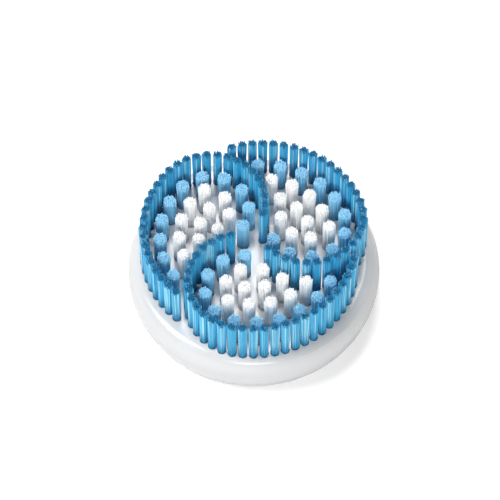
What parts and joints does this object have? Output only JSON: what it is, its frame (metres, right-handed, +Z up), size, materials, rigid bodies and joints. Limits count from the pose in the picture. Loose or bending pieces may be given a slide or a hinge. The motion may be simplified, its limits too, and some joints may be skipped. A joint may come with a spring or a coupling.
{
  "type": "exfoliation brush head",
  "caption": "Round moulded brush head for a rotary skin brush: tall blue rim tufts in a lobed swirl around shorter light blue and white tufts, with a keyed drive socket underneath.",
  "frame": {"origin": "centre of the flat bottom rim", "axes": "+Z up along the spin axis, from the bottom rim to the bristle tips; +X to the right and +Y away from the viewer of the picture"},
  "size_m": [0.05, 0.05, 0.0203],
  "materials": {
    "head_plastic": "smooth white moulding, glossy",
    "rim_bristle": "translucent blue nylon filament with darker tips",
    "row_bristle": "translucent light blue nylon filament",
    "core_bristle": "white nylon filament",
    "anchor_metal": "bare flat wire"
  },
  "bodies": {
    "root": {"head_body": "head_plastic", "rim_tufts_right": "rim_bristle", "rim_tufts_front": "rim_bristle", "rim_tufts_left": "rim_bristle", "row_tufts_right": "row_bristle", "row_tufts_front": "row_bristle", "row_tufts_left": "row_bristle", "core_tufts_right": "core_bristle", "core_tufts_front": "core_bristle", "core_tufts_left": "core_bristle", "rim_anchors": "anchor_metal", "row_anchors": "anchor_metal", "core_anchors": "anchor_metal"}
  },
  "joints": []
}
